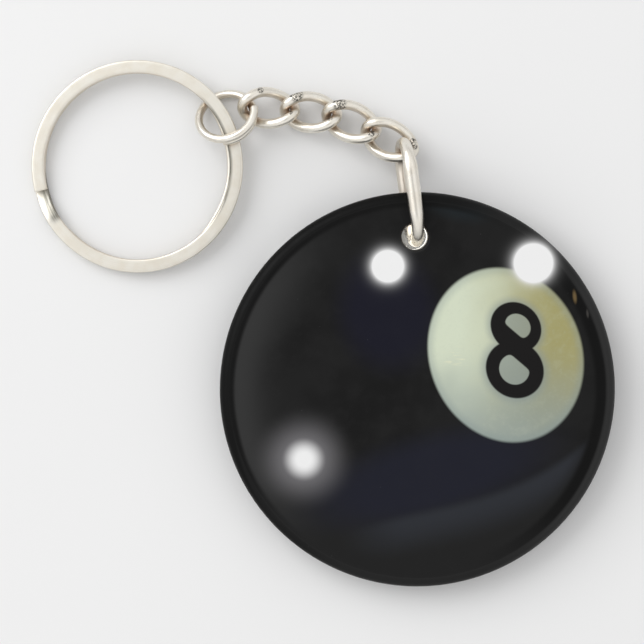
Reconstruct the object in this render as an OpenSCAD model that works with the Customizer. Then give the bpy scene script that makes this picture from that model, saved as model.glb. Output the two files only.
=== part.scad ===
// Key ring: a round acrylic fob on a short curb chain with a split ring.
// It lies flat, as it would on a table, with the fob's front face up. Millimetres, +Z up.
// The origin is on the table, at the middle of the whole key ring's outline.

/* [Fob] */
// Diameter of the round fob
fob_d = 50.8; // [40:0.1:60]
// Thickness of the fob, both printed films included
fob_t = 4.8; // [4:0.1:5]
// Radius of the rounded edge
fob_edge = 1.3; // [0.6:0.1:1.8]
// Thickness of each printed film
film_t = 0.2; // [0.1:0.05:0.3]
// Turn of the fob on the table
fob_turn = 1.2; // [0:0.1:3]

/* [Hole in the fob] */
// Diameter of the drilled hole
hole_d = 3.3; // [3.3:0.1:4]
// Distance from the fob's middle to the hole
hole_y = 19.7; // [19:0.1:20.5]
// Chamfer on both ends of the hole
hole_chamfer = 0.3; // [0.3:0.05:0.5]

/* [Oval ring] */
// Wire diameter of the oval ring
oval_wire = 1.6; // [1.4:0.05:1.6]
// Outer length of the oval ring
oval_len = 14.2; // [14:0.1:14.6]
// Inner height of the oval ring
oval_gap = 5.6; // [5.6:0.1:6]
// How far the oval ring leans over sideways
oval_roll = 7; // [0:1:8]
// Direction that the oval ring points in, from +Y towards -X
oval_turn = 7.5; // [5:0.5:9]
// Width of the cut where the wire's two ends meet
oval_cut = 0.06; // [0.02:0.02:0.1]

/* [Curb chain] */
// Wire diameter of the links
link_wire = 1.3; // [1:0.05:1.3]
// Outer length of a link
link_len = 8.2; // [8:0.1:8.4]
// Outer width of a link
link_w = 5.4; // [5:0.1:5.6]
// Twist of each end of a link about its length
link_twist = 50; // [45:1:55]

/* [Small ring] */
// Wire diameter of the small ring
small_wire = 1.05; // [0.9:0.05:1.1]
// Outer diameter of the small ring at the middle of its turn
small_d = 8.3; // [8:0.1:8.5]
// How far the wire winds round, past one full turn
small_overlap = 105; // [60:5:110]

/* [Split ring] */
// Outer diameter of the split ring
split_d = 27.5; // [26:0.1:28]
// Width of its flat wire
split_band = 1.7; // [1.4:0.05:1.7]
// Thickness of its flat wire
split_t = 0.72; // [0.6:0.02:0.72]
// Gap between the two coils
split_gap = 0.04; // [0.02:0.01:0.06]
// Where the upper coil ends, counted from +X
split_end = 194; // [150:1:230]

/* [Hidden] */
$fn = 96;

fob_r = fob_d / 2;
half_t = fob_t / 2;
past = 1;

// Where the pieces lie, measured from the point on the table under the fob's middle.
// A link's pose is its middle, then its roll, pitch and heading.
link_1_at = [-19.15, 36.41, 2.14];
link_1_turn = [-1.9, 6.3, -3];
link_2_at = [-13.7, 35.85, 1.9];
link_2_turn = [1, -1, -7];
link_3_at = [-8.45, 34.55, 2.35];
link_3_turn = [1, -2, -22];
link_4_at = [-3.55, 32.15, 2.8];
link_4_turn = [1, -7, -28];
small_at = [-24.59, 35.3, 2.49];
small_lean = 31.7;
small_lean_dir = 203.8;
split_x = -36.2;
split_y = 28.85;
split_lean = 3.4;
split_lean_dir = -50;

// The origin: the middle of the outline of the fob and the split ring together
origin_x = (split_x - split_d / 2 + fob_r) / 2;
origin_y = (split_y + split_d / 2 - fob_r) / 2;

// The oval ring's lower strand lifts the fob's top edge, so the fob leans by fob_lean
// and rests on the lower rim and on that strand.
oval_r = (oval_gap + oval_wire) / 2;
oval_hook = 0.55;
oval_side = 0.2;
strand_reach = 0.95;
strand_low = oval_r * cos(oval_roll) + oval_wire / 2;
strand_y = hole_y - oval_hook + oval_r * strand_reach;
fob_lean = atan((strand_low - half_t) / (strand_y + fob_r - fob_edge));
fob_z = (fob_r - fob_edge) * sin(fob_lean) + (half_t - fob_edge) * cos(fob_lean) + fob_edge;

module on_table() {
    translate([-origin_x, -origin_y, 0]) children();
}

// The fob's own frame: its middle at the origin, front face up, hole towards +Y
module in_fob() {
    on_table() translate([0, 0, fob_z]) rotate([fob_lean, 0, 0]) rotate([0, 0, fob_turn]) children();
}

// Half of the fob's section, from the axis outwards, with rounded corners
module disc_section(r, half_h, edge) {
    translate([0, -half_h]) square([r - edge, 2 * half_h]);
    translate([0, edge - half_h]) square([r, 2 * (half_h - edge)]);
    translate([r - edge, half_h - edge]) circle(edge);
    translate([r - edge, edge - half_h]) circle(edge);
}

module hole_cut() {
    translate([0, hole_y, -half_t - past]) cylinder(d = hole_d, h = fob_t + 2 * past);
    for (side = [0, 180])
        translate([0, hole_y, 0]) rotate([side, 0, 0]) translate([0, 0, half_t - hole_chamfer])
            cylinder(d1 = hole_d, d2 = hole_d + 2 * (hole_chamfer + past), h = hole_chamfer + past);
}

module fob_core() {
    color([0.86, 0.85, 0.82])
    in_fob() difference() {
        rotate_extrude() disc_section(fob_r - film_t, half_t - film_t, fob_edge - film_t);
        hole_cut();
    }
}

// A film covers one face and comes round the edge to mid-thickness. side is 1 for the
// front film and -1 for the back one.
module film(side) {
    color([0.03, 0.03, 0.035])
    in_fob() difference() {
        rotate_extrude() intersection() {
            difference() {
                disc_section(fob_r, half_t, fob_edge);
                disc_section(fob_r - film_t, half_t - film_t, fob_edge - film_t);
            }
            translate([0, side > 0 ? 0 : -half_t - past]) square([fob_r + past, half_t + past]);
        }
        hole_cut();
    }
}

module front_print() {
    film(1);
}

module back_print() {
    film(-1);
}

// A long oval of round wire standing on edge through the fob's hole. The cut comes after
// cut_share of its lower straight side, where the fob hides it.
cut_share = 0.35;
module fob_ring() {
    run = oval_len - oval_wire - 2 * oval_r;
    cut_y = oval_r + cut_share * run;
    color([0.82, 0.8, 0.76])
    in_fob() translate([oval_side, hole_y - oval_hook, 0])
        rotate([0, 0, oval_turn - fob_turn]) rotate([0, oval_roll, 0])
            difference() {
                translate([0, oval_r, 0]) rotate([0, 90, 0]) union() {
                    rotate([0, 0, 180]) half_turn();
                    translate([0, run, 0]) half_turn();
                    for (side = [-1, 1])
                        translate([side * oval_r, 0, 0]) rotate([-90, 0, 0])
                            cylinder(d = oval_wire, h = run);
                }
                translate([-oval_wire, cut_y, -oval_r - oval_wire])
                    cube([2 * oval_wire, oval_cut, oval_r + oval_wire]);
            }
}

module half_turn() {
    rotate_extrude(angle = 180) translate([oval_r, 0]) circle(d = oval_wire);
}

// A closed or open tube along a list of points. ring(i) places the corners of section i.
function swept_faces(rings, sides, closed) = concat(
    [for (i = [0 : rings - (closed ? 1 : 2)], k = [0 : sides - 1])
        [i * sides + k, i * sides + (k + 1) % sides,
         ((i + 1) % rings) * sides + (k + 1) % sides, ((i + 1) % rings) * sides + k]],
    closed ? [] : [[for (k = [sides - 1 : -1 : 0]) k]],
    closed ? [] : [[for (k = [0 : sides - 1]) (rings - 1) * sides + k]]);

function unit(v) = v / norm(v);

// Middle of a curb link's wire: a full oval whose plane twists from one end to the other
full = 1 / 1.2;
function oval_cos(t) = sign(cos(t)) * pow(abs(cos(t)), full);
function oval_sin(t) = sign(sin(t)) * pow(abs(sin(t)), full);
function link_mid(t) =
    let (x = oval_cos(t), y = oval_sin(t) * (link_w - link_wire) / 2, a = link_twist * x)
    [x * (link_len - link_wire) / 2, y * cos(a), -y * sin(a)];

function link_section(t, sides) =
    let (way = unit(link_mid(t + 1) - link_mid(t - 1)),
         out = unit(link_mid(t) - way * (link_mid(t) * way)),
         up = cross(way, out))
    [for (k = [0 : sides - 1])
        link_mid(t) + link_wire / 2 * (out * cos(360 * k / sides) + up * sin(360 * k / sides))];

module curb_link(at, turn) {
    rings = 54;
    sides = 12;
    points = [for (i = [0 : rings - 1]) each link_section(360 * (i + 0.5) / rings, sides)];
    color([0.82, 0.8, 0.76])
    on_table() translate(at) rotate(turn)
        polyhedron(points, swept_faces(rings, sides, true), convexity = 4);
}

module chain_link_1() {
    curb_link(link_1_at, link_1_turn);
}

module chain_link_2() {
    curb_link(link_2_at, link_2_turn);
}

module chain_link_3() {
    curb_link(link_3_at, link_3_turn);
}

module chain_link_4() {
    curb_link(link_4_at, link_4_turn);
}

// Leans what follows by an angle about a level line that points in the direction dir
module lean_over(angle, dir) {
    rotate([0, 0, dir]) rotate([angle, 0, 0]) rotate([0, 0, -dir]) children();
}

// The small ring's wire winds a little more than one turn, like the start of a spring:
// s runs from -1 at the lower end to 1 at the upper end, which lies a little further out.
small_start = -95;
small_out = 0.2;
small_rise = 0.67;
function small_mid(s) =
    let (a = small_start + (360 + small_overlap) * (s + 1) / 2,
         r = (small_d - small_wire) / 2 + small_out * s)
    [r * cos(a), r * sin(a), small_rise * s];

function small_section(s, sides) =
    let (way = unit(small_mid(s + 0.01) - small_mid(s - 0.01)),
         out = unit(cross(way, [0, 0, 1])),
         up = cross(way, out))
    [for (k = [0 : sides - 1])
        small_mid(s) + small_wire / 2 * (out * cos(360 * k / sides) + up * sin(360 * k / sides))];

module small_ring() {
    rings = 64;
    sides = 12;
    points = [for (i = [0 : rings - 1]) each small_section(2 * i / (rings - 1) - 1, sides)];
    color([0.82, 0.8, 0.76])
    on_table() translate(small_at) lean_over(small_lean, small_lean_dir)
        polyhedron(points, swept_faces(rings, sides, false), convexity = 4);
}

// The split ring's flat wire runs clockwise on top for most of a turn, steps down past its
// own end, and runs on underneath. a counts degrees along the wire from the upper end.
split_jog = 18;
split_under = 332;
split_round = 0.2;
function ease(u) = u * u * (3 - 2 * u);
function split_level(a) =
    let (h = (split_t + split_gap) / 2, u = (a - 360 + split_jog) / split_jog)
    a < 360 - split_jog ? h : a > 360 ? -h : h * (1 - 2 * ease(u));

function split_section(a) =
    let (w = split_band / 2, h = split_t / 2, c = split_round)
    [for (q = [[w, c - h], [w, h - c], [w - c, h], [c - w, h],
               [-w, h - c], [-w, c - h], [c - w, -h], [w - c, -h]])
        let (r = (split_d - split_band) / 2 + q[0], at = split_end - a)
        [r * cos(at), r * sin(at), split_level(a) + q[1]]];

module split_ring() {
    step = 4;
    turns = 360 + split_under;
    rings = turns / step + 1;
    points = [for (i = [0 : rings - 1]) each split_section(i * step)];
    rise = split_t + split_gap / 2 + split_d / 2 * sin(split_lean);
    color([0.82, 0.8, 0.76])
    on_table() translate([split_x, split_y, rise]) lean_over(split_lean, split_lean_dir)
        polyhedron(points, swept_faces(rings, 8, false), convexity = 6);
}

fob_core();
front_print();
back_print();
fob_ring();
chain_link_4();
chain_link_3();
chain_link_2();
chain_link_1();
small_ring();
split_ring();
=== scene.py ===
"""Looks of the key ring: a printed round fob on a curb chain with a split ring.

Lengths in the builders are in millimetres, from the point on the table under the fob's middle.
ORIGIN shifts them to the row frame, and MM turns them into metres.
"""

import math

import bpy
import numpy as np
from mathutils import Matrix

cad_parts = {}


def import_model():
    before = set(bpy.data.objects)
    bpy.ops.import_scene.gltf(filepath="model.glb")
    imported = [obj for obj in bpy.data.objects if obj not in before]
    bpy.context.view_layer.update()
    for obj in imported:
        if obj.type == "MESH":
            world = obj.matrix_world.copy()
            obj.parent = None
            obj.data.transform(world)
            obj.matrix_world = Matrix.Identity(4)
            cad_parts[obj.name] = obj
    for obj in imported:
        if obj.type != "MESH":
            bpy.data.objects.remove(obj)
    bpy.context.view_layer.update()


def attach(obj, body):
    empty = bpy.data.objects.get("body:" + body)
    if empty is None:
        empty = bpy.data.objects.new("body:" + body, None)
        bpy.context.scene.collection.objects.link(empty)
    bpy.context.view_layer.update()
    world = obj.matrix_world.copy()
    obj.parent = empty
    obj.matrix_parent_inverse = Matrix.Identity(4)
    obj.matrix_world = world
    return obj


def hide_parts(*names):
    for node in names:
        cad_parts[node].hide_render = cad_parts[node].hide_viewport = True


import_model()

MM = 0.001

# ---------------------------------------------------------------- sizes, as in the CAD
# The fob, with the radius of its rounded edge, and its drilled hole
FOB_R = 25.4
HALF_T = 2.4
FOB_EDGE = 1.3
FILM_T = 0.2
FOB_TURN = 1.2
HOLE_R = 1.65
HOLE_Y = 19.7
CHAMFER = 0.3

# The oval ring. Its near bend reaches OVAL_HOOK past the hole's middle, and its cut is at CUT_SHARE
# of the lower strand's straight. The fob rests on that strand at STRAND_TOUCH of OVAL_R
OVAL_WIRE = 1.6
OVAL_LEN = 14.2
OVAL_R = 3.6
OVAL_ROLL = 7.0
OVAL_TURN = 7.5
OVAL_CUT = 0.06
OVAL_HOOK = 0.55
OVAL_SIDE = 0.2
CUT_SHARE = 0.35
STRAND_TOUCH = 0.95
BEND_STEPS = 72

# The curb links. A fullness of 1 is a plain oval, and more is squarer. Each link's pose is its
# middle, then its roll, pitch and heading
LINK_WIRE = 1.3
LINK_LEN = 8.2
LINK_W = 5.4
LINK_TWIST = 50.0
LINK_FULLNESS = 1.2
LINKS = {
    1: ((-19.15, 36.41, 2.14), (-1.9, 6.3, -3)),
    2: ((-13.7, 35.85, 1.9), (1, -1, -7)),
    3: ((-8.45, 34.55, 2.35), (1, -2, -22)),
    4: ((-3.55, 32.15, 2.8), (1, -7, -28)),
}

# The small ring. Its wire starts at SMALL_START and winds one turn and SMALL_OVERLAP more. On the
# way its radius grows by twice SMALL_OUT, and it rises by twice SMALL_RISE
SMALL_WIRE = 1.05
SMALL_D = 8.3
SMALL_OVERLAP = 105.0
SMALL_START = -95.0
SMALL_OUT = 0.2
SMALL_RISE = 0.67
SMALL_AT = (-24.59, 35.3, 2.49)
SMALL_LEAN = (31.7, 203.8)

# The split ring. Its wire starts at SPLIT_END and runs clockwise. Over the last SPLIT_JOG degrees
# of the first turn it drops to the lower coil, which goes on for SPLIT_UNDER degrees
SPLIT_D = 27.5
SPLIT_BAND = 1.7
SPLIT_T = 0.72
SPLIT_GAP = 0.04
SPLIT_END = 194.0
SPLIT_JOG = 18.0
SPLIT_UNDER = 332.0
SPLIT_AT = (-36.2, 28.85)
SPLIT_LEAN = (3.4, -50.0)
SPLIT_ROUND = 0.2

ORIGIN = np.array(
    [(SPLIT_AT[0] - SPLIT_D / 2 + FOB_R) / 2, (SPLIT_AT[1] + SPLIT_D / 2 - FOB_R) / 2, 0]
)


# ---------------------------------------------------------------- small maths
def rot(axis, degrees):
    """Turn about x, y or z as a 3 x 3 matrix."""
    return np.array(Matrix.Rotation(math.radians(degrees), 3, axis))


def lean(angle, direction):
    """Lean by angle about a level line that points in the given direction."""
    return rot("Z", direction) @ rot("X", angle) @ rot("Z", -direction)


def unit(v):
    """Vectors made 1 long."""
    return v / np.linalg.norm(v, axis=-1, keepdims=True)


def smooth(x, low, high):
    """Smooth step of x from 0 at low to 1 at high."""
    u = np.clip((x - low) / (high - low), 0, 1)
    return u * u * (3 - 2 * u)


def fob_frame():
    """Turn and middle of the fob, which leans because the oval ring's lower strand is under it."""
    strand_low = OVAL_R * math.cos(math.radians(OVAL_ROLL)) + OVAL_WIRE / 2
    strand_y = HOLE_Y - OVAL_HOOK + OVAL_R * STRAND_TOUCH
    angle = math.atan((strand_low - HALF_T) / (strand_y + FOB_R - FOB_EDGE))
    height = (
        (FOB_R - FOB_EDGE) * math.sin(angle)
        + (HALF_T - FOB_EDGE) * math.cos(angle)
        + FOB_EDGE
    )
    return rot("X", math.degrees(angle)) @ rot("Z", FOB_TURN), np.array([0, 0, height])


FOB_ROT, FOB_AT = fob_frame()


# ---------------------------------------------------------------- middle lines of the wires
def oval_line():
    """Points along the oval ring's wire, from one side of its cut round to the other."""
    run = OVAL_LEN - OVAL_WIRE - 2 * OVAL_R
    cut_y = OVAL_R + CUT_SHARE * run
    far = OVAL_R + run
    pts = [(0, y, -OVAL_R) for y in np.linspace(cut_y, OVAL_R, 14, endpoint=False)]
    for t in np.linspace(0, math.pi, BEND_STEPS, endpoint=False):
        pts.append((0, OVAL_R - OVAL_R * math.sin(t), -OVAL_R * math.cos(t)))
    pts += [(0, y, OVAL_R) for y in np.linspace(OVAL_R, far, 40, endpoint=False)]
    for t in np.linspace(0, math.pi, BEND_STEPS, endpoint=False):
        pts.append((0, far + OVAL_R * math.sin(t), OVAL_R * math.cos(t)))
    pts += [(0, y, -OVAL_R) for y in np.linspace(far, cut_y + OVAL_CUT, 24)]
    local = rot("Z", OVAL_TURN - FOB_TURN) @ rot("Y", OVAL_ROLL)
    pts = np.array(pts) @ local.T + np.array([OVAL_SIDE, HOLE_Y - OVAL_HOOK, 0])
    return pts @ FOB_ROT.T + FOB_AT


def power(c, exponent):
    """Power that keeps the sign."""
    return np.sign(c) * np.abs(c) ** exponent


def link_line(number, count=216):
    """Closed middle line of a curb link: an oval whose plane twists from end to end."""
    at, (roll, pitch, heading) = LINKS[number]
    t = (np.arange(count) + 0.5) * 2 * math.pi / count
    x = power(np.cos(t), 1 / LINK_FULLNESS)
    y = power(np.sin(t), 1 / LINK_FULLNESS) * (LINK_W - LINK_WIRE) / 2
    a = np.radians(LINK_TWIST * x)
    pts = np.stack([x * (LINK_LEN - LINK_WIRE) / 2, y * np.cos(a), -y * np.sin(a)], 1)
    turn = rot("Z", heading) @ rot("Y", pitch) @ rot("X", roll)
    return pts @ turn.T + np.array(at)


def small_line(count=260):
    """Middle line of the small ring, wound past a full turn so that its ends lie side by side."""
    s = np.linspace(-1, 1, count)
    a = np.radians(SMALL_START + (360 + SMALL_OVERLAP) * (s + 1) / 2)
    r = (SMALL_D - SMALL_WIRE) / 2 + SMALL_OUT * s
    pts = np.stack([r * np.cos(a), r * np.sin(a), SMALL_RISE * s], 1)
    return pts @ lean(*SMALL_LEAN).T + np.array(SMALL_AT)


def split_level(a):
    """Height of the flat wire's middle: the upper coil, then a jog down to the lower coil."""
    h = (SPLIT_T + SPLIT_GAP) / 2
    return h * (1 - 2 * smooth(a, 360 - SPLIT_JOG, 360))


def split_place(local):
    """Leans the split ring and lifts it onto the table."""
    rise = SPLIT_T + SPLIT_GAP / 2 + SPLIT_D / 2 * math.sin(math.radians(SPLIT_LEAN[0]))
    return local @ lean(*SPLIT_LEAN).T + np.array([*SPLIT_AT, rise])


LINES = {"fob_ring": (oval_line(), OVAL_WIRE / 2), "small_ring": (small_line(), SMALL_WIRE / 2)}
for n in LINKS:
    LINES[f"chain_link_{n}"] = (link_line(n), LINK_WIRE / 2)


# ---------------------------------------------------------------- mesh building
# Angles in degrees above which an edge stays sharp
SHARP_WIRE = 50
SHARP_FOB = 40
# Gap to the nearest other wire, in mm: the furthest that is measured, and where the painted tan shade
# gathers
FAR = 9.0
CREASE_START = 0.05
CREASE_END = 0.95
# How many points are measured at once
CHUNK = 2000
# Bevel of a cut end: distance in from the end in mm, share of the wire's radius there
END_STEPS = ((0.0, 0.80), (0.02, 0.89), (0.05, 0.955), (0.09, 0.99))


def to_row(points):
    """From mm in the fob-centred frame to metres in the row frame."""
    return (points - ORIGIN) * MM


def mesh_object(name, verts, faces, material, sharp):
    """A smooth mesh in metres, with edges sharper than the angle in degrees left sharp."""
    mesh = bpy.data.meshes.new(name)
    mesh.from_pydata([tuple(v) for v in verts], [], [tuple(int(i) for i in f) for f in faces])
    mesh.materials.append(material)
    mesh.update()
    mesh.shade_smooth()
    mesh.set_sharp_from_angle(angle=math.radians(sharp))
    obj = bpy.data.objects.new(name, mesh)
    bpy.context.scene.collection.objects.link(obj)
    return obj


def put_attribute(obj, name, values):
    """Stores one number or one vector per point, for the materials."""
    values = np.asarray(values, np.float32)
    if values.ndim == 1:
        layer = obj.data.attributes.new(name, "FLOAT", "POINT")
        layer.data.foreach_set("value", values)
    else:
        layer = obj.data.attributes.new(name, "FLOAT_VECTOR", "POINT")
        layer.data.foreach_set("vector", values.ravel())


def grid_faces(rings, sides, closed):
    """Four-sided faces between rings of points. Closed joins the last ring to the first."""
    faces = []
    for i in range(rings if closed else rings - 1):
        j = (i + 1) % rings
        for k in range(sides):
            m = (k + 1) % sides
            faces.append((i * sides + k, i * sides + m, j * sides + m, j * sides + k))
    return faces


def gap_to_others(points, own):
    """How far each point is from the surface of the nearest other wire, in mm."""
    best = np.full(len(points), FAR)
    for name, (line, radius) in LINES.items():
        if name == own:
            continue
        for start in range(0, len(points), CHUNK):
            part = slice(start, start + CHUNK)
            d = np.linalg.norm(points[part, None, :] - line[None, ::2, :], axis=2).min(1) - radius
            best[part] = np.minimum(best[part], d)
    return best


def wire_object(name, line, radius, closed, sides, material, middle, spots=(), widen=None):
    """Round wire swept along a middle line. An open wire gets a small bevel on both cut ends.

    spots are solder marks on the side that faces up: (x and y in mm, radius). widen takes the line
    and returns how much wider than round each ring of points is, and along which axis.
    """
    way = np.roll(line, -1, 0) - np.roll(line, 1, 0) if closed else np.gradient(line, axis=0)
    way = unit(way)
    scale = np.ones(len(line))
    if not closed:
        first, last = line[0].copy(), line[-1].copy()
        head = [first + way[0] * s for s, _ in END_STEPS]
        tail = [last - way[-1] * s for s, _ in reversed(END_STEPS)]
        keep = slice(2, -2)
        line = np.concatenate([head, line[keep], tail])
        ends = np.array([c for _, c in END_STEPS])
        scale = np.concatenate([ends, scale[keep], ends[::-1]])
        way = np.concatenate(
            [np.repeat(way[:1], len(ends), 0), way[keep], np.repeat(way[-1:], len(ends), 0)]
        )
    out = line - middle
    out = unit(out - way * (out * way).sum(1, keepdims=True))
    up = np.cross(way, out)
    phi = np.arange(sides) * 2 * math.pi / sides
    ring = (
        out[:, None, :] * np.cos(phi)[None, :, None] + up[:, None, :] * np.sin(phi)[None, :, None]
    )
    grow = np.repeat(scale[:, None] * radius, sides, 1)
    points = (line[:, None, :] + ring * grow[:, :, None]).reshape(-1, 3)
    if widen is not None:
        share, axis = widen(line)
        reach = radius * (ring.reshape(-1, 3) @ axis)[:, None]
        points += np.repeat(share, sides)[:, None] * reach * axis
    faces = grid_faces(len(line), sides, closed)
    if not closed:
        faces.append(range(sides - 1, -1, -1))
        faces.append(range((len(line) - 1) * sides, len(line) * sides))
    obj = mesh_object(name, to_row(points), faces, material, SHARP_WIRE)
    along = np.concatenate([[0], np.cumsum(np.linalg.norm(np.diff(line, axis=0), axis=1))])
    if closed:
        along = along[-1] / 2 - np.abs(along - along[-1] / 2)
    wire = np.zeros((len(line), sides, 3))
    wire[:, :, 0] = along[:, None]
    wire[:, :, 1] = np.cos(phi)[None, :] * radius
    wire[:, :, 2] = np.sin(phi)[None, :] * radius
    put_attribute(obj, "wire", wire.reshape(-1, 3))
    # Inner side of the wire, where tan shade is painted
    inside = np.clip(-np.cos(phi), 0, 1)[None, :] * np.ones((len(line), 1))
    put_attribute(obj, "inside", inside.ravel())
    mark = np.zeros(len(points))
    upward = smooth(ring[:, :, 2].ravel(), 0.0, 0.5)
    for place, size in spots:
        d = np.linalg.norm(points[:, :2] - np.array(place), axis=1)
        mark = np.maximum(mark, np.clip(1 - d / size, 0, 1) * upward)
    put_attribute(obj, "mark", mark)
    return obj, points


def finish_metal(obj, points, own, body):
    """Marks the creases between wires, where tan shade is painted, and hands the piece to the frame.
    """
    gap = gap_to_others(points, own)
    put_attribute(obj, "crease", 1 - smooth(gap, CREASE_START, CREASE_END))
    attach(obj, body)
    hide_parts(own)


# ---------------------------------------------------------------- node helpers
class Nodes:
    """Short calls for building a node tree."""

    def __init__(self, name):
        self.material = bpy.data.materials.new(name)
        self.material.use_nodes = True
        self.tree = self.material.node_tree
        self.tree.nodes.clear()
        self.shader = self.tree.nodes.new("ShaderNodeBsdfPrincipled")
        out = self.tree.nodes.new("ShaderNodeOutputMaterial")
        self.tree.links.new(self.shader.outputs[0], out.inputs[0])

    def put(self, socket, value):
        """Links a socket or sets a plain value on it. A short colour gets full alpha."""
        if isinstance(value, bpy.types.NodeSocket):
            self.tree.links.new(value, socket)
        elif hasattr(socket.default_value, "__len__"):
            missing = len(socket.default_value) - len(value)
            socket.default_value = tuple(value) + (1.0,) * missing
        else:
            socket.default_value = value

    def math(self, op, *values, clamp=False):
        node = self.tree.nodes.new("ShaderNodeMath")
        node.operation = op
        node.use_clamp = clamp
        for socket, value in zip(node.inputs, values):
            self.put(socket, value)
        return node.outputs[0]

    def vector(self, op, *values):
        node = self.tree.nodes.new("ShaderNodeVectorMath")
        node.operation = op
        for socket, value in zip(node.inputs, values):
            self.put(socket, value)
        return node.outputs[0]

    def ramp(self, value, low, high, out_low=0.0, out_high=1.0):
        """Smooth step of value from low to high."""
        node = self.tree.nodes.new("ShaderNodeMapRange")
        node.interpolation_type = "SMOOTHSTEP"
        node.inputs["From Min"].default_value = low
        node.inputs["From Max"].default_value = high
        node.inputs["To Min"].default_value = out_low
        node.inputs["To Max"].default_value = out_high
        self.put(node.inputs["Value"], value)
        return node.outputs[0]

    def mix(self, factor, a, b):
        node = self.tree.nodes.new("ShaderNodeMix")
        node.data_type = "RGBA"
        self.put(node.inputs[0], factor)
        self.put(node.inputs[6], a)
        self.put(node.inputs[7], b)
        return node.outputs[2]

    def noise(self, vector, scale, detail=3.0, rough=0.5):
        node = self.tree.nodes.new("ShaderNodeTexNoise")
        self.put(node.inputs["Vector"], vector)
        node.inputs["Scale"].default_value = scale
        node.inputs["Detail"].default_value = detail
        node.inputs["Roughness"].default_value = rough
        return node.outputs[0]

    def cells(self, vector, scale):
        node = self.tree.nodes.new("ShaderNodeTexVoronoi")
        self.put(node.inputs["Vector"], vector)
        node.inputs["Scale"].default_value = scale
        return node.outputs["Distance"]

    def attribute(self, name, output="Fac"):
        node = self.tree.nodes.new("ShaderNodeAttribute")
        node.attribute_name = name
        return node.outputs[output]

    def object_mm(self):
        node = self.tree.nodes.new("ShaderNodeTexCoord")
        return self.vector("MULTIPLY", node.outputs["Object"], (1000, 1000, 1000))

    def split(self, vector):
        node = self.tree.nodes.new("ShaderNodeSeparateXYZ")
        self.put(node.inputs[0], vector)
        return node.outputs

    def tint(self, colour, where, share, over):
        """Lays a display colour over another, as strongly as where times share says."""
        return self.mix(self.math("MULTIPLY", where, share), colour, srgb(*over))

    def bump(self, height, strength, distance_mm, normal=None):
        node = self.tree.nodes.new("ShaderNodeBump")
        node.inputs["Strength"].default_value = strength
        node.inputs["Distance"].default_value = distance_mm * MM
        self.put(node.inputs["Height"], height)
        if normal is not None:
            self.put(node.inputs["Normal"], normal)
        return node.outputs[0]

    def set(self, **values):
        """Puts values on the shader's inputs, named with _ for a space."""
        for name, value in values.items():
            self.put(self.shader.inputs[name.replace("_", " ")], value)


def srgb(r, g, b):
    """A colour given in display values from 0 to 255, as linear light."""
    return tuple(
        (c / 255 / 12.92 if c / 255 <= 0.04045 else ((c / 255 + 0.055) / 1.055) ** 2.4)
        for c in (r, g, b)
    )


def darker(colour, *steps):
    """A display colour with each part lowered by its own step."""
    return tuple(c - step for c, step in zip(colour, steps))


# ---------------------------------------------------------------- materials
# Colours are display values from 0 to 255, except the table's, which are linear
PLATE = (239, 235, 226)
FLAT_PLATE = (235, 231, 221)
WORN_PLATE = (196, 188, 174)
PAINTED_TAN_SHADE = (172, 140, 108)
BROWN_SPECK = (160, 148, 132)
PAINTED_DARK_REFLECTION = (84, 84, 76)
PIT = (58, 56, 52)
BLACK_LOW = (26, 26, 26)
BLACK_HIGH = (32, 32, 32)
BLACK_BLOTCH = (35, 35, 35)
BLACK_FOOT = (34, 34, 34)
NAVY_TINT = (28, 28, 40)
LOW_NAVY_TINT = (33, 34, 44)
ARC_TINT = (46, 48, 53)
SLATE_TINT = (34, 39, 42)
LEFT_GREY = (54, 54, 54)
# Painted shade round the rim
RIM_SHADE = (21, 21, 21)
RIM_EDGE_SHADE = (8, 8, 8)
RIGHT_SHADE = (20, 20, 20)
# Painted highlight line on the rim's right side
RIGHT_RIM_HIGHLIGHT = (44, 44, 44)
SIDE_BLACK = (14, 14, 14)
CREAM = (206, 214, 192)
CREAM_OLD = (158, 153, 106)
CREAM_LOW = (143, 154, 150)
CREAM_SCUFF = (222, 222, 192)
CREAM_GRAIN = (176, 184, 168)
CREAM_BLOTCH = (190, 196, 176)
CREAM_EDGE = (128, 142, 142)
DIGIT_HALO = (128, 140, 142)
DIGIT = (29, 28, 28)
PAPER = (233, 233, 233)
HALO = (228, 225, 230)
DUST = (110, 112, 114)
ACRYLIC = (224, 224, 222)
ACRYLIC_EDGE = (58, 56, 54)
TABLE_LOW = (0.80, 0.80, 0.80)
TABLE_HIGH = (0.82, 0.82, 0.82)

# The print, in mm from the fob's middle. Ovals are x, y, half width, half height and turn
NAVY_OVAL = (-3.6, 10.2, 7.4, 8.8, 12)
LOW_NAVY_OVAL = (1.5, -11.0, 19.0, 6.2, 14)
SLATE_OVAL = (5.6, 23.0, 4.8, 1.8, -14)
SPOT_OVAL = (11.35, 4.3, 9.85, 11.5, 20)
SCUFF_OVAL = (5.2, 4.2, 2.6, 1.6)
EIGHT_UP = (12.72, 7.85, 3.45, 3.05, -45)
EIGHT_LOW = (12.48, 2.45, 3.88, 3.56, -45)
COUNTER_UP = (12.96, 7.98, 1.75, 1.48, -42)
COUNTER_LOW = (12.42, 2.46, 2.02, 1.88, -50)
# The stroke that parts the 8's counters: the way across it, and where it starts and ends
STROKE_WAY = (0.664, 0.747)
STROKE_FROM = 11.25
STROKE_TO = 13.76
# The upper edge of the pale arc: y = ARC_LEVEL + ARC_SLOPE x + ARC_BEND x cubed
ARC_SLOPE = 0.2
ARC_BEND = 0.00044
ARC_LEVEL = -15.8
# Where the grey inside the left rim faces
LEFT_WAY = (-0.995, 0.1)
# Distances from the fob's middle between which each tint fades, and heights for its side
LEFT_IN = (11.0, 23.1)
LEFT_OUT = (23.3, 24.0)
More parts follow.
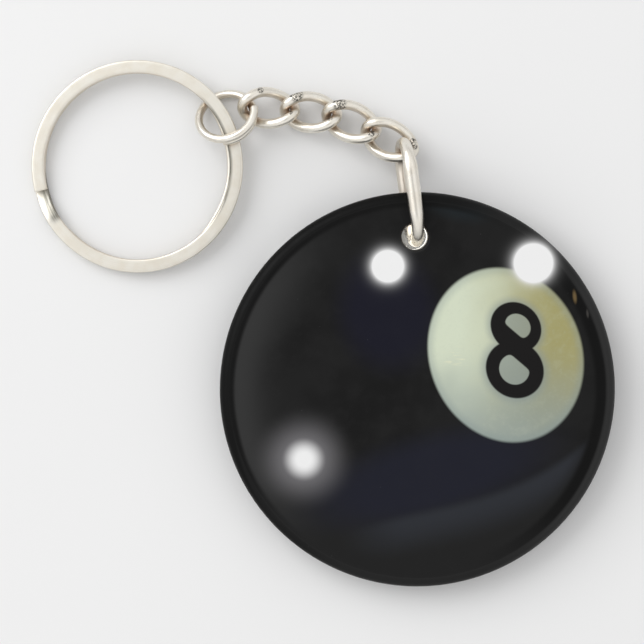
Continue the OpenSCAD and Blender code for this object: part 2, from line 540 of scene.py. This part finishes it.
# Where the rim's painted shade fades in
RIM_SHADE_AT = (23.2, 23.9)
RIM_EDGE_SHADE_AT = (24.0, 24.4)
RIGHT_SHADE_AT = (22.4, 23.2)
# Where the painted highlight line on the right rim lies
RIGHT_RIM_HIGHLIGHT_AT = (23.9, 24.5)
SIDE_AT = (1.5, 0.9)
# Flecks: oval, then colour
FLECKS = (
    ((20.3, 11.6, 0.28, 0.9, 6), (112, 94, 64)),
    ((21.9, 9.4, 0.18, 0.6, 6), (66, 64, 62)),
)
# Glows: x, y, radius of the white core and the length of its fall. The soft glow: x and y
GLOWS = ((-3.5, 16.0, 2.0, 0.37), (15.1, 16.0, 2.46, 0.38))
SOFT_GLOW = (-14.75, -8.55)


def plated_metal(name, base=PLATE, lines=0.26, rough_low=0.25, rough_high=0.38):
    """Bright, slightly warm nickel plate: drawing lines, scratches, painted tan shade in the creases
    and on the inner sides, and painted dark reflections.

    lines is the strength of the drawing lines, and the roughness changes along them.
    """
    m = Nodes(name)
    place = m.object_mm()
    wire = m.attribute("wire", "Vector")
    drawn = m.noise(m.vector("MULTIPLY", wire, (0.16, 3.2, 3.2)), 2.2, 4.0, 0.6)
    hair = m.noise(m.vector("MULTIPLY", wire, (0.5, 16.0, 16.0)), 1.6, 2.0, 0.6)
    cloudy = m.noise(place, 0.55, 3.0, 0.55)
    speck = m.ramp(m.cells(place, 2.4), 0.0, 0.10, 1.0, 0.0)
    # Painted tan shade in the creases between wires and on the inner sides, which are also made
    # rougher
    crease = m.math("MULTIPLY", m.attribute("crease"), m.ramp(cloudy, 0.25, 0.7, 0.55, 1.0))
    inside = m.math("MULTIPLY", m.attribute("inside"), 0.26)
    painted_crease_shade = m.math("ADD", m.math("MULTIPLY", crease, 0.85), inside, clamp=True)
    mark = m.attribute("mark")
    grains = m.noise(place, 4.6, 3.0, 0.75)
    pits = m.math("MULTIPLY", m.ramp(mark, 0.05, 0.40), m.ramp(grains, 0.42, 0.56), clamp=True)
    colour = m.mix(m.ramp(cloudy, 0.3, 0.7), srgb(*base), srgb(*darker(base, 6, 8, 11)))
    colour = m.mix(m.ramp(drawn, 0.35, 0.75, 0.0, lines), colour, srgb(*WORN_PLATE))
    # Lays on the painted tan shade
    colour = m.tint(colour, painted_crease_shade, 0.85, PAINTED_TAN_SHADE)
    colour = m.tint(colour, speck, 0.25, BROWN_SPECK)
    streaky = m.ramp(drawn, 0.25, 0.6, 0.55, 1.0)
    # Painted dark reflections, where a piece carries the shade attribute
    colour = m.tint(colour, m.attribute("shade"), streaky, PAINTED_DARK_REFLECTION)
    colour = m.tint(colour, pits, 0.95, PIT)
    rough = m.ramp(drawn, 0.3, 0.8, rough_low, rough_high)
    rough = m.math("ADD", rough, m.math("MULTIPLY", painted_crease_shade, 0.12))
    rough = m.math("ADD", rough, m.math("MULTIPLY", pits, 0.25), clamp=True)
    normal = m.bump(drawn, lines, 0.015)
    normal = m.bump(hair, 0.16, 0.006, normal)
    normal = m.bump(m.math("MULTIPLY", mark, grains), 0.9, 0.16, normal)
    m.set(Base_Color=colour, Roughness=rough, Normal=normal, Metallic=1.0)
    return m.material


def product(m, *values):
    """The product of two or more values."""
    result = values[-1]
    for value in reversed(values[:-1]):
        result = m.math("MULTIPLY", value, result)
    return result


def distance(m, x, y, cx, cy):
    """Distance in mm from a point of the print."""
    dx = m.math("POWER", m.math("SUBTRACT", x, cx), 2.0)
    dy = m.math("POWER", m.math("SUBTRACT", y, cy), 2.0)
    return m.math("SQRT", m.math("ADD", dx, dy))


def dot(m, x, y, way):
    """How far a point of the print lies along a direction."""
    return m.math("ADD", m.math("MULTIPLY", x, way[0]), m.math("MULTIPLY", y, way[1]))


def ellipse(m, x, y, cx, cy, rx, ry, turn=0.0):
    """1 on the ellipse, less inside it and more outside."""
    c, s = math.cos(math.radians(turn)), math.sin(math.radians(turn))
    dx, dy = m.math("SUBTRACT", x, cx), m.math("SUBTRACT", y, cy)
    u = dot(m, dx, dy, (c / rx, s / rx))
    v = dot(m, dx, dy, (-s / ry, c / ry))
    return m.math("SQRT", m.math("ADD", m.math("MULTIPLY", u, u), m.math("MULTIPLY", v, v)))


def digit_eight(m, x, y):
    """1 on the strokes of a plain 8, and a measure that is below 0 inside its outline.

    The 8 is two ovals with two counters, parted by a thick slanting stroke.
    """
    upper = m.math("SUBTRACT", ellipse(m, x, y, *EIGHT_UP), 1)
    lower = m.math("SUBTRACT", ellipse(m, x, y, *EIGHT_LOW), 1)
    outer = m.math("SMOOTH_MIN", upper, lower, 0.06)
    across = dot(m, x, y, STROKE_WAY)
    above = m.math("MULTIPLY", m.math("SUBTRACT", STROKE_TO, across), 0.55)
    below = m.math("MULTIPLY", m.math("SUBTRACT", across, STROKE_FROM), 0.45)
    hole_up = m.math("SUBTRACT", ellipse(m, x, y, *COUNTER_UP), 1)
    hole_low = m.math("SUBTRACT", ellipse(m, x, y, *COUNTER_LOW), 1)
    hole_up = m.math("SMOOTH_MAX", hole_up, above, 0.30)
    hole_low = m.math("SMOOTH_MAX", hole_low, below, 0.26)
    strokes = m.ramp(outer, -0.035, 0.03, 1.0, 0.0)
    open_up = m.ramp(hole_up, -0.06, 0.05, 1.0, 0.0)
    open_low = m.ramp(hole_low, -0.05, 0.04, 1.0, 0.0)
    counters = m.math("MAXIMUM", open_up, open_low)
    return m.math("MULTIPLY", strokes, m.math("SUBTRACT", 1, counters)), outer


def glow_profile(m, d, start, length):
    """1 out to start, then a fall by a factor of e with every length."""
    fall = m.math("EXPONENT", m.math("DIVIDE", m.math("SUBTRACT", start, d), length))
    return m.math("MINIMUM", fall, 1.0)


def printed_film(name):
    """Gloss film printed with a black ball: a number spot, soft tints and three printed glows, with
    painted shade round the rim and a painted highlight line on its right.
    """
    m = Nodes(name)
    place = m.attribute("fob_mm", "Vector")
    x, y, z = m.split(place)
    r = m.math("SQRT", m.math("ADD", m.math("MULTIPLY", x, x), m.math("MULTIPLY", y, y)))
    grain = m.noise(place, 2.2, 4.0, 0.6)
    broad = m.noise(place, 0.16, 2.0, 0.5)
    blotch = m.noise(place, 0.7, 3.0, 0.6)

    colour = m.mix(m.ramp(broad, 0.3, 0.7), srgb(*BLACK_LOW), srgb(*BLACK_HIGH))
    colour = m.mix(m.ramp(blotch, 0.45, 0.75, 0.0, 0.35), colour, srgb(*BLACK_BLOTCH))

    # Soft tints in the black
    colour = m.mix(m.ramp(y, -9.0, -18.0, 0.0, 0.9), colour, srgb(*BLACK_FOOT))
    navy = m.ramp(ellipse(m, x, y, *NAVY_OVAL), 0.5, 1.1, 1.0, 0.0)
    colour = m.tint(colour, navy, 0.8, NAVY_TINT)
    low_navy = m.ramp(ellipse(m, x, y, *LOW_NAVY_OVAL), 0.45, 1.1, 1.0, 0.0)
    colour = m.tint(colour, low_navy, 0.9, LOW_NAVY_TINT)
    bend = m.math("MULTIPLY", product(m, x, x, x), ARC_BEND)
    edge = m.math("ADD", m.math("ADD", m.math("MULTIPLY", x, ARC_SLOPE), bend), ARC_LEVEL)
    below = m.math("SUBTRACT", edge, y)
    arc = m.math("MULTIPLY", m.ramp(below, -0.8, 0.8), m.ramp(below, 0.8, 5.6, 1.0, 0.0))
    arc = product(m, arc, m.ramp(x, -11.0, -1.0), m.ramp(r, 21.0, 23.8, 1.0, 0.0))
    colour = m.tint(colour, arc, 0.95, ARC_TINT)
    slate = m.ramp(ellipse(m, x, y, *SLATE_OVAL), 0.2, 1.15, 1.0, 0.0)
    colour = m.tint(colour, slate, 0.7, SLATE_TINT)

    # A lighter grey just inside the left rim, fading towards the middle
    lean_left = dot(m, x, y, LEFT_WAY)
    left = m.ramp(m.math("DIVIDE", lean_left, m.math("MAXIMUM", r, 0.1)), 0.45, 0.98)
    fade = m.math("POWER", m.ramp(r, *LEFT_IN), 4.6)
    left_band = product(m, left, fade, m.ramp(r, *LEFT_OUT, 1.0, 0.0))
    colour = m.tint(colour, left_band, 0.9, LEFT_GREY)

    # Painted shade of the rounded rim, which gets thinner towards the bottom and almost stops there
    rim = m.math("SUBTRACT", r, m.ramp(y, -4.0, -16.0, 0.0, 0.7))
    not_right = m.math("MULTIPLY", m.ramp(x, 14.0, 2.0), m.ramp(y, -23.5, -19.0, 0.2, 1.0))
    colour = m.tint(colour, not_right, m.ramp(rim, *RIM_SHADE_AT), RIM_SHADE)
    colour = m.tint(colour, not_right, m.ramp(rim, *RIM_EDGE_SHADE_AT), RIM_EDGE_SHADE)
    # On the right: painted shade inside the rim, and a painted highlight line on it
    right = m.math("MULTIPLY", m.ramp(x, 6.0, 20.0), m.ramp(y, 19.0, 11.0))
    colour = m.tint(colour, right, m.ramp(r, *RIGHT_SHADE_AT), RIGHT_SHADE)
    colour = m.tint(colour, right, m.ramp(r, *RIGHT_RIM_HIGHLIGHT_AT), RIGHT_RIM_HIGHLIGHT)
    # The side is one even black, so the two printed layers meet without a step
    colour = m.mix(m.ramp(z, *SIDE_AT), colour, srgb(*SIDE_BLACK))

    # The number spot
    spot = ellipse(m, x, y, *SPOT_OVAL)
    body = m.ramp(spot, 0.965, 1.01, 1.0, 0.0)
    wander = m.math("MULTIPLY", m.math("SUBTRACT", broad, 0.5), 5)
    old = m.ramp(m.math("ADD", x, wander), 5.0, 17.5)
    cream = m.mix(old, srgb(*CREAM), srgb(*CREAM_OLD))
    low = m.math("MULTIPLY", m.ramp(m.math("ADD", y, wander), 7.0, -6.0), 0.85)
    cream = m.mix(low, cream, srgb(*CREAM_LOW))
    streaks = m.noise(m.vector("MULTIPLY", place, (0.5, 2.6, 1.0)), 1.1, 4.0, 0.6)
    scuff = m.ramp(ellipse(m, x, y, *SCUFF_OVAL), 0.3, 1.1, 1.0, 0.0)
    warm = m.math("MULTIPLY", m.ramp(streaks, 0.54, 0.70), scuff)
    cream = m.tint(cream, warm, 0.7, CREAM_SCUFF)
    cream = m.mix(m.ramp(grain, 0.5, 0.8, 0.0, 0.16), cream, srgb(*CREAM_GRAIN))
    cream = m.mix(m.ramp(blotch, 0.5, 0.8, 0.0, 0.14), cream, srgb(*CREAM_BLOTCH))
    cream = m.mix(m.ramp(spot, 0.86, 0.99, 0.0, 0.38), cream, srgb(*CREAM_EDGE))
    strokes, outer = digit_eight(m, x, y)
    cream = m.mix(m.ramp(outer, -0.12, 0.36, 0.62, 0.0), cream, srgb(*DIGIT_HALO))
    cream = m.mix(strokes, cream, srgb(*DIGIT))
    colour = m.mix(body, colour, cream)

    # Two small brownish marks near the right rim
    for oval_at, tint in FLECKS:
        fleck = m.ramp(ellipse(m, x, y, *oval_at), 0.3, 1.3, 1.0, 0.0)
        colour = m.tint(colour, fleck, 0.8, tint)

    # Printed glows: a white core that fades into a grey halo
    paper = srgb(*PAPER)
    for cx, cy, start, length in GLOWS:
        d = distance(m, x, y, cx, cy)
        colour = m.mix(glow_profile(m, d, start, length), colour, paper)
    d = distance(m, x, y, *SOFT_GLOW)
    halo = m.math("POWER", m.ramp(d, 1.2, 7.6, 1.0, 0.0), 1.6)
    colour = m.tint(colour, halo, 0.20, HALO)
    colour = m.mix(m.ramp(d, 0.75, 2.95, 1.0, 0.0), colour, paper)

    # Dust in the print
    dust = m.ramp(m.cells(place, 0.55), 0.0, 0.045, 1.0, 0.0)
    dust = m.math("MULTIPLY", dust, m.ramp(grain, 0.45, 0.6))
    colour = m.tint(colour, dust, 0.30, DUST)

    # Gloss, with smudges and hairlines, duller round the rim
    smudge = m.noise(place, 0.35, 5.0, 0.62)
    rough = m.ramp(smudge, 0.35, 0.75, 0.09, 0.17)
    hairline = m.noise(m.vector("MULTIPLY", place, (0.25, 6.0, 1.0)), 1.2, 3.0, 0.7)
    rough = m.math("ADD", rough, m.ramp(hairline, 0.66, 0.74, 0.0, 0.05))
    rough = m.math("ADD", rough, m.ramp(r, 23.9, 24.4, 0.0, 0.34))
    normal = m.bump(m.noise(place, 0.5, 2.0, 0.5), 0.12, 0.02)
    m.set(Base_Color=colour, Roughness=rough, Normal=normal, Specular_IOR_Level=0.1)
    return m.material


def acrylic(name, tint=ACRYLIC, glow=2.6):
    """Drilled acrylic: pale and slightly cloudy, with fine turning marks and a dark top edge.

    The hole is lit from inside, more so deeper down, as a stand-in for light piped by the acrylic.
    """
    m = Nodes(name)
    place = m.attribute("fob_mm", "Vector")
    turns = m.noise(m.vector("MULTIPLY", place, (0.7, 0.7, 9.0)), 1.3, 4.0, 0.6)
    cloudy = m.noise(place, 1.1, 3.0, 0.6)
    colour = m.mix(m.ramp(cloudy, 0.3, 0.7), srgb(*tint), srgb(*darker(tint, 18, 20, 24)))
    rough = m.ramp(turns, 0.3, 0.7, 0.2, 0.42)
    normal = m.bump(turns, 0.5, 0.03)
    _, _, z = m.split(place)
    colour = m.mix(m.ramp(z, 2.02, 2.1), colour, srgb(*ACRYLIC_EDGE))
    depth = m.ramp(z, -1.9, 0.3, 1.0, 0.13)
    lit = m.mix(depth, (0.0, 0.0, 0.0), colour)
    m.set(Base_Color=colour, Roughness=rough, Normal=normal, Emission_Color=lit)
    m.shader.inputs["Emission Strength"].default_value = glow
    return m.material


def table_top(name):
    """Pale matt surface with a faint change of tone."""
    m = Nodes(name)
    place = m.object_mm()
    tone = m.noise(place, 0.02, 3.0, 0.5)
    colour = m.mix(tone, TABLE_LOW, TABLE_HIGH)
    m.set(Base_Color=colour, Roughness=0.75, Specular_IOR_Level=0.2)
    return m.material


METAL = plated_metal("nickel_plate")
FLAT_METAL = plated_metal("nickel_plate_flat_wire", FLAT_PLATE, 0.12, 0.30, 0.40)
PRINT = printed_film("ball_print")
CORE = acrylic("acrylic_core")


# ---------------------------------------------------------------- the fob
AROUND = 512
PHI = np.arange(AROUND) * 2 * math.pi / AROUND
HOLE_C = np.array([0.0, HOLE_Y])
FLAT_R = FOB_R - FOB_EDGE
# Radius of the hole at the face and where the film's inner side starts
MOUTH = HOLE_R + CHAMFER
INNER_MOUTH = MOUTH - FILM_T
# Tiny chamfers on the film, and the gap between it and the core
BREAK = 0.02
SEAM_RISE = 0.012
CORE_GAP = 0.006


def rim_ring(radius, z):
    """A ring round the fob's middle."""
    return np.stack([radius * np.cos(PHI), radius * np.sin(PHI), np.full(AROUND, z)], 1)


def hole_ring(radius, z, share=0.0, reach=FLAT_R):
    """A ring round the hole, from the hole's circle at share 0 to the radius reach at share 1."""
    q = np.stack([reach * np.cos(PHI), reach * np.sin(PHI)], 1) - HOLE_C
    length = np.linalg.norm(q, axis=1, keepdims=True)
    p = HOLE_C + q / length * (radius + (length - radius) * share)
    return np.concatenate([p, np.full((AROUND, 1), z)], 1)


# Where the rings between the hole and the flat's edge lie, and how many steps round the edge
SHARES = (0.004, 0.03, 0.12, 0.3, 0.55, 0.8, 0.97)
ARC = 14


def edge_rings(radius):
    """Rings round the fob's rounded edge, from the flat face to its outermost line."""
    turns = [math.pi / 2 * i / ARC for i in range(ARC + 1)]
    level = HALF_T - FOB_EDGE
    return [rim_ring(FLAT_R + radius * math.sin(a), level + radius * math.cos(a)) for a in turns]


def film_rings():
    """Rings of a film from the hole's edge, over the face and the rounded edge, and back inside."""
    inner = HALF_T - FILM_T
    rings = [hole_ring(INNER_MOUTH, inner)]
    rings.append(hole_ring(MOUTH - BREAK, HALF_T - BREAK))
    rings.append(hole_ring(MOUTH + BREAK / 2, HALF_T))
    rings += [hole_ring(MOUTH, HALF_T, share) for share in SHARES]
    rings += edge_rings(FOB_EDGE)
    rings.append(rim_ring(FOB_R, SEAM_RISE))
    rings.append(rim_ring(FOB_R - BREAK, 0.0))
    rings.append(rim_ring(FOB_R - FILM_T, 0.0))
    rings += reversed(edge_rings(FOB_EDGE - FILM_T))
    rings += [hole_ring(INNER_MOUTH, inner, share) for share in reversed(SHARES)]
    return rings


def core_rings():
    """Rings of the clear core, a hair smaller than the space between the films."""
    top = HALF_T - FILM_T - CORE_GAP
    wall = HALF_T - CHAMFER
    rings = [hole_ring(HOLE_R, z) for z in np.linspace(-wall, wall, 9)]
    rings.append(hole_ring(INNER_MOUTH, top))
    upper = [hole_ring(INNER_MOUTH, top, share) for share in SHARES]
    upper += edge_rings(FOB_EDGE - FILM_T - CORE_GAP)
    lower = [r * np.array([1, 1, -1]) for r in reversed(upper)]
    rings += upper + lower
    rings.append(hole_ring(INNER_MOUTH, -top))
    return rings


def fob_object(name, rings, material, flip):
    """One layer of the fob, turned over for the back, with its own mm kept for the print."""
    own = np.concatenate(rings)
    turn = FOB_ROT @ (rot("Y", 180) if flip else np.eye(3))
    # These rings follow each other the other way than a wire's do, so each face is turned to face out
    faces = [(a, d, c, b) for a, b, c, d in grid_faces(len(rings), AROUND, True)]
    obj = mesh_object(name, to_row(own @ turn.T + FOB_AT), faces, material, SHARP_FOB)
    put_attribute(obj, "fob_mm", own)
    return obj


rings = film_rings()
front = fob_object("fob_front_film", rings, PRINT, False)
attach(front, "fob")
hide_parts("front_print")
back = fob_object("fob_back_film", rings, PRINT, True)
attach(back, "fob")
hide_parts("back_print")
core = fob_object("fob_acrylic_core", core_rings(), CORE, False)
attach(core, "fob")
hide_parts("fob_core")


# ---------------------------------------------------------------- the wires
OVAL_SIDES = 48
LINK_SIDES = 40
SMALL_SIDES = 36
# How much wider than round, and where along the fob's length it starts and ends
PRESSED = 0.15
PRESSED_FROM = (20.9, 23.0)
PRESSED_TO = (28.4, 30.2)


def pressed_strand(line):
    """The free part of the oval ring's upper strand is pressed a little wider than round."""
    y, z = line[:, 1], line[:, 2]
    free = smooth(y, *PRESSED_FROM) * (1 - smooth(y, *PRESSED_TO)) * (z > FOB_AT[2])
    turn = FOB_ROT @ rot("Z", OVAL_TURN - FOB_TURN) @ rot("Y", OVAL_ROLL)
    return PRESSED * free, turn @ np.array([1.0, 0, 0])


line, radius = LINES["fob_ring"]
oval, points = wire_object(
    "oval_ring_wire", line, radius, False, OVAL_SIDES, METAL, line.mean(0), widen=pressed_strand
)
finish_metal(oval, points, "fob_ring", "fob_ring")

# Solder marks on each link: x and y in mm, radius
SOLDER = {
    1: [((-20.2, 38.6), 0.5), ((-16.3, 35.7), 0.35)],
    2: [((-15.6, 38.0), 1.15), ((-11.3, 35.0), 0.5)],
    3: [((-10.0, 36.8), 1.15), ((-5.9, 33.0), 0.6)],
    4: [((-0.5, 32.0), 0.6), ((-0.3, 31.3), 0.5)],
}
for n in sorted(LINKS):
    node = f"chain_link_{n}"
    line, radius = LINES[node]
    middle = np.array(LINKS[n][0])
    link, points = wire_object(
        f"curb_link_{n}", line, radius, True, LINK_SIDES, METAL, middle, spots=SOLDER[n]
    )
    finish_metal(link, points, node, node)

line, radius = LINES["small_ring"]
middle = np.array(SMALL_AT)
small, points = wire_object("small_ring_wire", line, radius, False, SMALL_SIDES, METAL, middle)
finish_metal(small, points, "small_ring", "small_ring")


# ---------------------------------------------------------------- the split ring
def band_section():
    """Outline of the flat wire with rounded corners, in mm outwards and upwards from its middle."""
    w, h, c = SPLIT_BAND / 2, SPLIT_T / 2, SPLIT_ROUND
    corners = ((w - c, c - h, -90), (w - c, h - c, 0), (c - w, h - c, 90), (c - w, c - h, 180))
    pts = []
    for cx, cy, start in corners:
        for t in np.radians(np.linspace(start, start + 90, 7)):
            pts.append((cx + c * math.cos(t), cy + c * math.sin(t)))
        if start == 0:
            pts += [(u * (w - c), h) for u in (0.6, 0.2, -0.2, -0.6)]
        if start == 180:
            pts += [(u * (w - c), -h) for u in (-0.5, 0.0, 0.5)]
    return np.array(pts)


# Bevel of the band's ends: degrees in from the end, share of the section there
BAND_ENDS = ((0.0, 0.86), (0.12, 0.95), (0.35, 1.0))
# Inward bulge in mm, where along the wire it starts, and where it faces, all in degrees
BULGE = 0.36
BULGE_FROM = (372, 410)
BULGE_FADE = (22, 52)
BULGE_FACING = -6
# Where the painted dark reflections on the jog and on the upper coil's inner edge start and end
JOG_SHADE_IN = (338, 343)
JOG_SHADE_OUT = (362, 376)
EDGE_FACING = 6
EDGE_FADE = (26, 48)


def split_ring():
    """The split ring's flat wire: two coils, the lower one bulging in a little on the right."""
    section = band_section()
    turns = 360 + SPLIT_UNDER
    head = np.array([step for step, _ in BAND_ENDS])
    a = np.concatenate([head, np.arange(1, turns - 0.5, 1.0), turns - head[::-1]])
    scale = np.ones(len(a))
    for i, (_, share) in enumerate(BAND_ENDS):
        scale[[i, -1 - i]] = share
    at = np.radians(SPLIT_END - a)
    facing = np.degrees(np.arctan2(np.sin(at), np.cos(at)))
    beside = 1 - smooth(np.abs(facing - BULGE_FACING), *BULGE_FADE)
    inward = BULGE * smooth(a, *BULGE_FROM) * beside
    q = section[None, :, :] * scale[:, None, None]
    r = (SPLIT_D - SPLIT_BAND) / 2 - inward[:, None] + q[:, :, 0]
    local = np.stack(
        [r * np.cos(at)[:, None], r * np.sin(at)[:, None], split_level(a)[:, None] + q[:, :, 1]], 2
    )
    points = split_place(local.reshape(-1, 3))
    sides = len(section)
    faces = grid_faces(len(a), sides, False)
    faces.append(range(sides - 1, -1, -1))
    faces.append(range((len(a) - 1) * sides, len(a) * sides))
    obj = mesh_object("split_ring_band", to_row(points), faces, FLAT_METAL, SHARP_WIRE)
    wire = np.zeros((len(a), sides, 3))
    wire[:, :, 0] = (np.radians(a) * (SPLIT_D - SPLIT_BAND) / 2)[:, None]
    wire[:, :, 1:] = q
    put_attribute(obj, "wire", wire.reshape(-1, 3))
    # The band's inner edge, where tan shade is painted
    across = -q[:, :, 0] / (SPLIT_BAND / 2)
    put_attribute(obj, "inside", np.clip(across * 4 - 3, 0, 1).ravel())
    # Painted dark reflections: the inner half of the jog, and the upper coil's inner edge by the
    # bulge
    jog = smooth(a, *JOG_SHADE_IN) * (1 - smooth(a, *JOG_SHADE_OUT))
    beside_coil = (a < 360 - SPLIT_JOG) * (1 - smooth(np.abs(facing - EDGE_FACING), *EDGE_FADE))
    shade = 0.85 * jog[:, None] * smooth(across, -0.75, 0.3)
    shade = shade + 0.9 * beside_coil[:, None] * smooth(across, 0.45, 0.85)
    put_attribute(obj, "shade", shade.ravel())
    put_attribute(obj, "mark", np.zeros(len(points)))
    return obj, points


band, points = split_ring()
finish_metal(band, points, "split_ring", "split_ring")


# ---------------------------------------------------------------- table, light and camera
# Metres and watts. The dark patch is placed by the sideways part of the viewing direction
TABLE_SIZE = 4
SOFTBOX_AT = (-0.50, 0.36, 0.52)
SOFTBOX_SIZE = (0.62, 0.62)
SOFTBOX_ENERGY = 3.1
HORIZON = 0.62
FILL = 0.85
DARK_AT = (0.06, -0.12)
DARK_RADIUS = (0.13, 0.24)
DARK_DEPTH = 0.72


def table():
    """The pale surface that the key ring lies on."""
    bpy.ops.mesh.primitive_grid_add(x_subdivisions=8, y_subdivisions=8, size=TABLE_SIZE)
    floor = bpy.context.object
    floor.name = "table"
    floor.data.materials.append(table_top("pale_table"))


def area_light(name, place, size, energy):
    """A rectangular lamp that points at the origin."""
    data = bpy.data.lights.new(name, "AREA")
    data.shape = "RECTANGLE"
    data.size, data.size_y = size
    data.energy = energy
    obj = bpy.data.objects.new(name, data)
    bpy.context.scene.collection.objects.link(obj)
    at = Matrix.Translation(place)
    direction = -at.translation.normalized()
    obj.matrix_world = at @ direction.to_track_quat("-Z", "Y").to_matrix().to_4x4()


def world():
    """A pale studio: bright above and darker towards the horizon.

    Reflections also see a fixed dark patch almost straight above. Everything else sees an even dome
    that fills the shadows.
    """
    studio = bpy.data.worlds.new("studio")
    bpy.context.scene.world = studio
    studio.use_nodes = True
    tree = studio.node_tree
    tree.nodes.clear()
    coord = tree.nodes.new("ShaderNodeTexCoord")
    out = tree.nodes.new("ShaderNodeOutputWorld")
    back_node = tree.nodes.new("ShaderNodeBackground")
    tree.links.new(back_node.outputs[0], out.inputs[0])

    def value(op, *values):
        node = tree.nodes.new("ShaderNodeMath")
        node.operation = op
        for socket, v in zip(node.inputs, values):
            if isinstance(v, bpy.types.NodeSocket):
                tree.links.new(v, socket)
            else:
                socket.default_value = v
        return node.outputs[0]

    def step(v, low, high, out_low, out_high):
        node = tree.nodes.new("ShaderNodeMapRange")
        node.interpolation_type = "SMOOTHSTEP"
        tree.links.new(v, node.inputs["Value"])
        keys = ("From Min", "From Max", "To Min", "To Max")
        for key, number in zip(keys, (low, high, out_low, out_high)):
            node.inputs[key].default_value = number
        return node.outputs[0]

    parts = tree.nodes.new("ShaderNodeSeparateXYZ")
    tree.links.new(coord.outputs["Generated"], parts.inputs[0])
    x, y, z = parts.outputs
    dome = step(z, 0.0, 0.7, HORIZON, 1.0)
    dx = value("SUBTRACT", x, DARK_AT[0])
    dy = value("SUBTRACT", y, DARK_AT[1])
    away = value("SQRT", value("ADD", value("MULTIPLY", dx, dx), value("MULTIPLY", dy, dy)))
    high = step(z, 0.5, 0.6, 0.0, 1.0)
    dark = value("MULTIPLY", step(away, *DARK_RADIUS, DARK_DEPTH, 0.0), high)
    mirrored = value("MULTIPLY", dome, value("SUBTRACT", 1.0, dark))
    path = tree.nodes.new("ShaderNodeLightPath")
    glossy = path.outputs["Is Glossy Ray"]
    seen = value("MULTIPLY", mirrored, glossy)
    fill = value("MULTIPLY", value("MULTIPLY", dome, FILL), value("SUBTRACT", 1.0, glossy))
    tree.links.new(value("ADD", seen, fill), back_node.inputs["Strength"])
    back_node.inputs["Color"].default_value = (1.0, 1.0, 1.0, 1)


table()
world()
area_light("softbox", SOFTBOX_AT, SOFTBOX_SIZE, SOFTBOX_ENERGY)

# The camera looks straight down. VIEW_WIDTH is what it sees at VIEW_LEVEL, in metres
CAMERA_AT = (0.00002, 0.00008, 0.320)
VIEW_WIDTH = 0.0831
VIEW_LEVEL = 0.0034
SENSOR = 36
camera = bpy.data.cameras.new("camera")
camera.sensor_width = SENSOR
camera.lens = SENSOR / VIEW_WIDTH * (CAMERA_AT[2] - VIEW_LEVEL)
camera.clip_start = 0.01
camera.clip_end = 10
eye = bpy.data.objects.new("camera", camera)
eye.location = CAMERA_AT
bpy.context.scene.collection.objects.link(eye)
bpy.context.scene.camera = eye
bpy.context.scene.view_settings.view_transform = "Standard"
